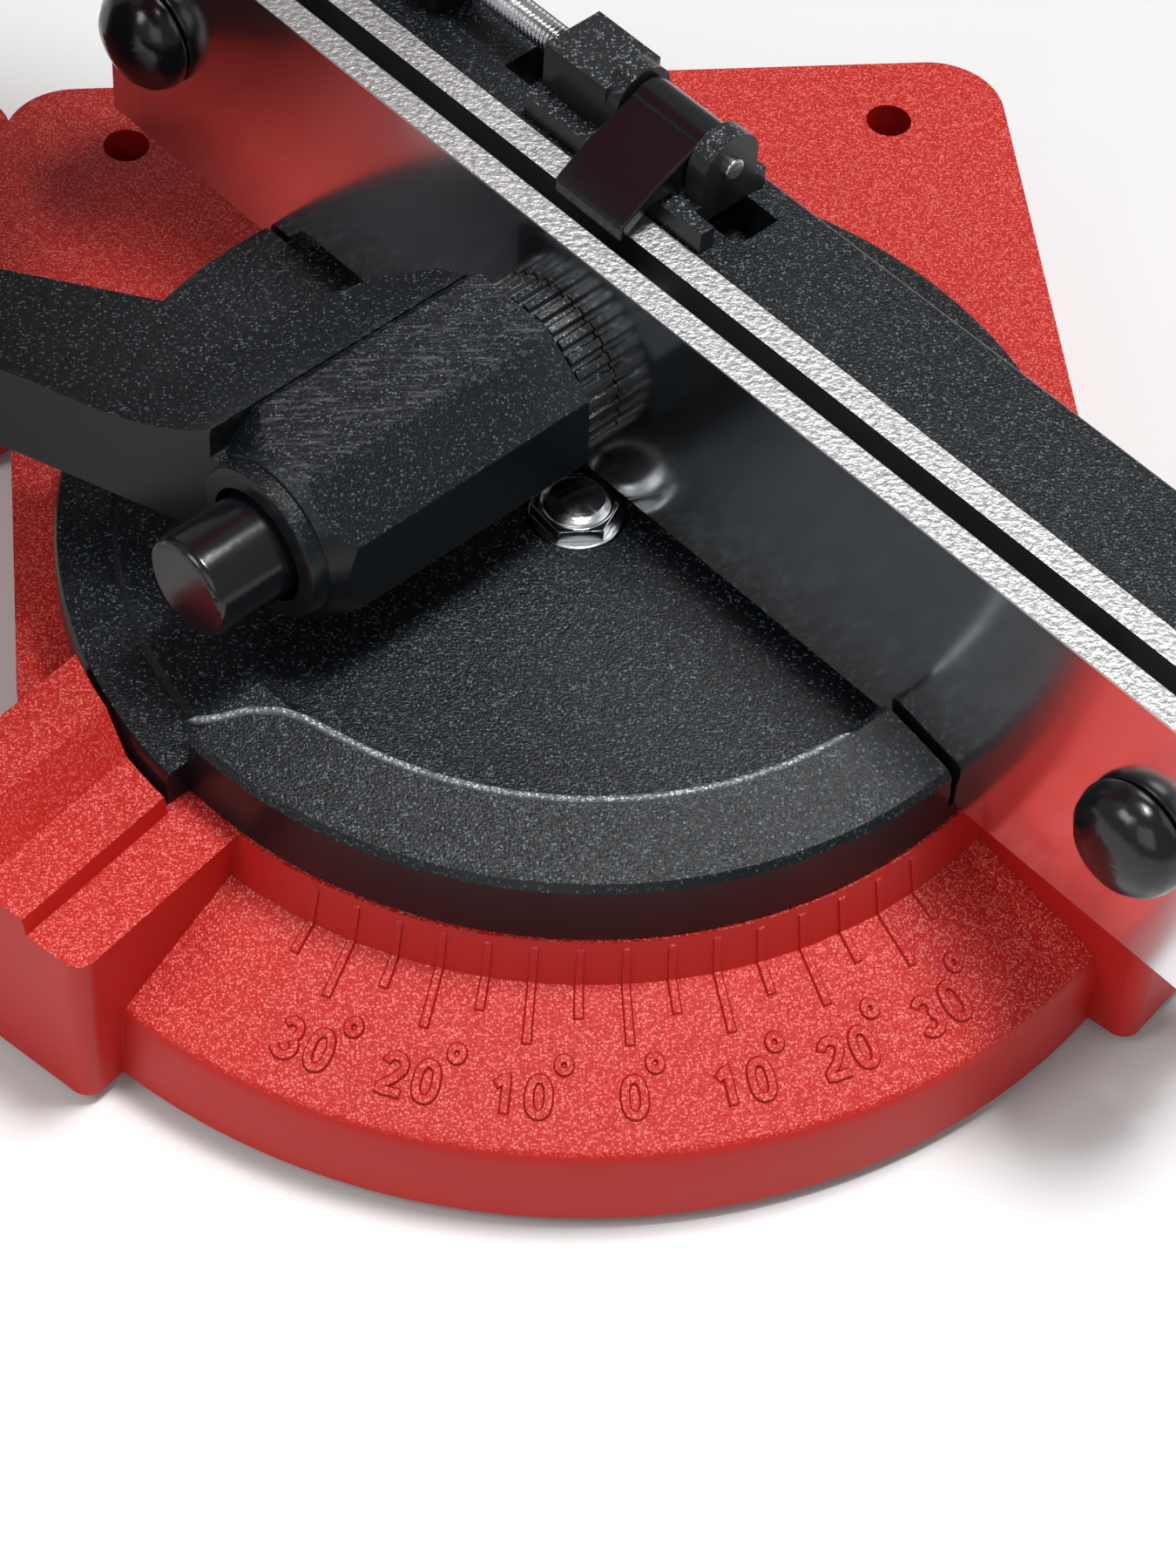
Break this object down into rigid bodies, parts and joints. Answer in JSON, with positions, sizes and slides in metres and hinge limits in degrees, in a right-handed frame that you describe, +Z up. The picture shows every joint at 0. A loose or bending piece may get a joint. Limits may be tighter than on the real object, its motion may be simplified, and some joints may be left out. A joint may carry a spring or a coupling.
{
  "type": "chain saw sharpener",
  "caption": "Bench sharpener for saw chain: base with an angle scale, swivelling rail vise with a clamp lever, and a motor head with a grinding wheel that swings down.",
  "frame": {"origin": "swivel axis at bench level", "axes": "+Z up, -Y towards the user, +X to the right"},
  "size_m": [0.2172, 0.209, 0.3094],
  "materials": {
    "red_plastic": "satin with fine grain",
    "black_plastic": "fine matt texture",
    "black_nylon": "satin",
    "white_nylon": "smooth",
    "rubber": "matt",
    "bright_zinc": "bright zinc plated",
    "spring_steel": "bright",
    "black_steel": "black oxide, glossy",
    "rail_steel": "polished faces, sawn edges",
    "cast_black": "black powder coat",
    "brass": "turned",
    "copper": "machined bars",
    "laminations": "stacked sheet",
    "carbon": "matt",
    "aluminium": "turned",
    "abrasive": "open grain",
    "switch_black": "gloss",
    "switch_red": "gloss"
  },
  "bodies": {
    "base": {"base_shell": "red_plastic", "rubber_feet": "rubber", "thrust_washer": "white_nylon", "hinge_bracket": "cast_black", "bracket_screws": "bright_zinc", "hinge_pin": "bright_zinc", "hinge_nut": "bright_zinc", "hinge_spring": "spring_steel"},
    "swivel": {"turntable": "black_plastic", "rear_jaw": "rail_steel", "rear_jaw_screws": "black_steel", "guide_screws": "black_steel", "clamp_stud": "bright_zinc", "pivot_bolt": "bright_zinc", "pivot_washer": "bright_zinc", "detent_ball": "spring_steel", "detent_spring": "spring_steel", "jaw_springs": "spring_steel"},
    "front_jaw": {"front_jaw": "rail_steel"},
    "clamp_hub": {"clamp_hub": "black_nylon", "lever_pin": "black_steel", "lever_spring": "spring_steel"},
    "clamp_lever": {"clamp_lever": "black_plastic"},
    "lock_knob": {"lock_knob": "black_plastic", "lock_insert": "brass"},
    "stop_carriage": {"stop_carriage": "black_nylon", "pawl_pin": "spring_steel"},
    "stop_pawl": {"stop_pawl": "black_steel"},
    "stop_screw": {"stop_screw": "black_nylon"},
    "head": {"head_housing": "red_plastic", "hinge_bushes": "brass", "front_plate": "aluminium", "rear_cap": "black_plastic", "cable_gland": "rubber", "stator": "laminations", "front_bearing": "spring_steel", "rear_bearing": "spring_steel", "brush_holders": "brass", "carbon_brushes": "carbon", "guard_rear": "cast_black", "guard_cover": "cast_black", "guard_screws": "bright_zinc", "handle_lower": "black_plastic", "handle_upper": "red_plastic", "handle_screws": "bright_zinc", "switch_body": "switch_black"},
    "spindle": {"spindle": "spring_steel", "rotor": "laminations", "commutator": "copper", "cooling_fan": "black_nylon", "inner_flange": "aluminium", "grinding_wheel": "abrasive", "outer_flange": "aluminium", "spindle_nut": "bright_zinc"},
    "switch_rocker": {"switch_rocker": "switch_red"},
    "depth_screw": {"depth_screw": "bright_zinc"},
    "depth_knob": {"depth_knob": "black_plastic"}
  },
  "joints": [
    {"name": "swivel_turn", "type": "hinge", "parent": "base", "child": "swivel", "pos_m": [0, 0, 0.03], "axis": [0, 0, 1], "range_deg": [-74, 0]},
    {"name": "lock_knob_turn", "type": "hinge", "parent": "swivel", "child": "lock_knob", "pos_m": [0, 0, 0.006], "axis": [0, 0, 1], "range_deg": [-180, 0]},
    {"name": "jaw_slide", "type": "slide", "parent": "swivel", "child": "front_jaw", "axis": [0.7986, 0.6018, 0], "range_m": [0, 0.0014], "deforming": ["jaw_springs"]},
    {"name": "clamp_turn", "type": "hinge", "parent": "front_jaw", "child": "clamp_hub", "pos_m": [-0.00602, 0.00799, 0.052], "axis": [0.7986, 0.6018, 0], "range_deg": [0, 170]},
    {"name": "lever_lift", "type": "slide", "parent": "clamp_hub", "child": "clamp_lever", "axis": [-0.7986, -0.6018, 0], "range_m": [0, 0.005], "stiffness_N_per_m": 300, "springref_m": -0.004, "deforming": ["lever_spring"]},
    {"name": "stop_screw_turn", "type": "hinge", "parent": "swivel", "child": "stop_screw", "pos_m": [-0.00731, 0.04958, 0.0774], "axis": [0.6018, -0.7986, 0], "range_deg": [-1800.5, 1800.5]},
    {"name": "stop_carriage_slide", "type": "slide", "parent": "swivel", "child": "stop_carriage", "axis": [0.6018, -0.7986, 0], "range_m": [-0.0035, 0.0035]},
    {"name": "pawl_turn", "type": "hinge", "parent": "stop_carriage", "child": "stop_pawl", "pos_m": [0.01255, 0.02323, 0.0785], "axis": [0.6018, -0.7986, 0], "range_deg": [-95, 0]},
    {"name": "head_swing", "type": "hinge", "parent": "base", "child": "head", "pos_m": [-0.112, 0.07, 0.1], "axis": [0, 1, 0], "range_deg": [0, 50], "stiffness_Nm_per_rad": 1.6, "springref_deg": -68.75},
    {"name": "wheel_spin", "type": "hinge", "parent": "head", "child": "spindle", "pos_m": [-0.06069, 0, 0.20315], "axis": [0, 1, 0], "continuous": true},
    {"name": "switch_rock", "type": "hinge", "parent": "head", "child": "switch_rocker", "pos_m": [-0.02226, 0.059, 0.27011], "axis": [0, 1, 0], "range_deg": [-14, 0]},
    {"name": "depth_screw_slide", "type": "slide", "parent": "head", "child": "depth_screw", "axis": [0.766, 0, -0.6428], "range_m": [-0.005, 0]},
    {"name": "depth_knob_turn", "type": "hinge", "parent": "depth_screw", "child": "depth_knob", "pos_m": [-0.11963, 0.07, 0.13447], "axis": [0.766, 0, -0.6428], "range_deg": [-1440.5, 0]}
  ],
  "couplings": [
    {"joint": "clamp_turn", "follows": "jaw_slide", "rad_per_m": 2094.4},
    {"joint": "stop_screw_turn", "follows": "stop_carriage_slide", "rad_per_m": -8976},
    {"joint": "depth_knob_turn", "follows": "depth_screw_slide", "rad_per_m": 5026.5}
  ]
}
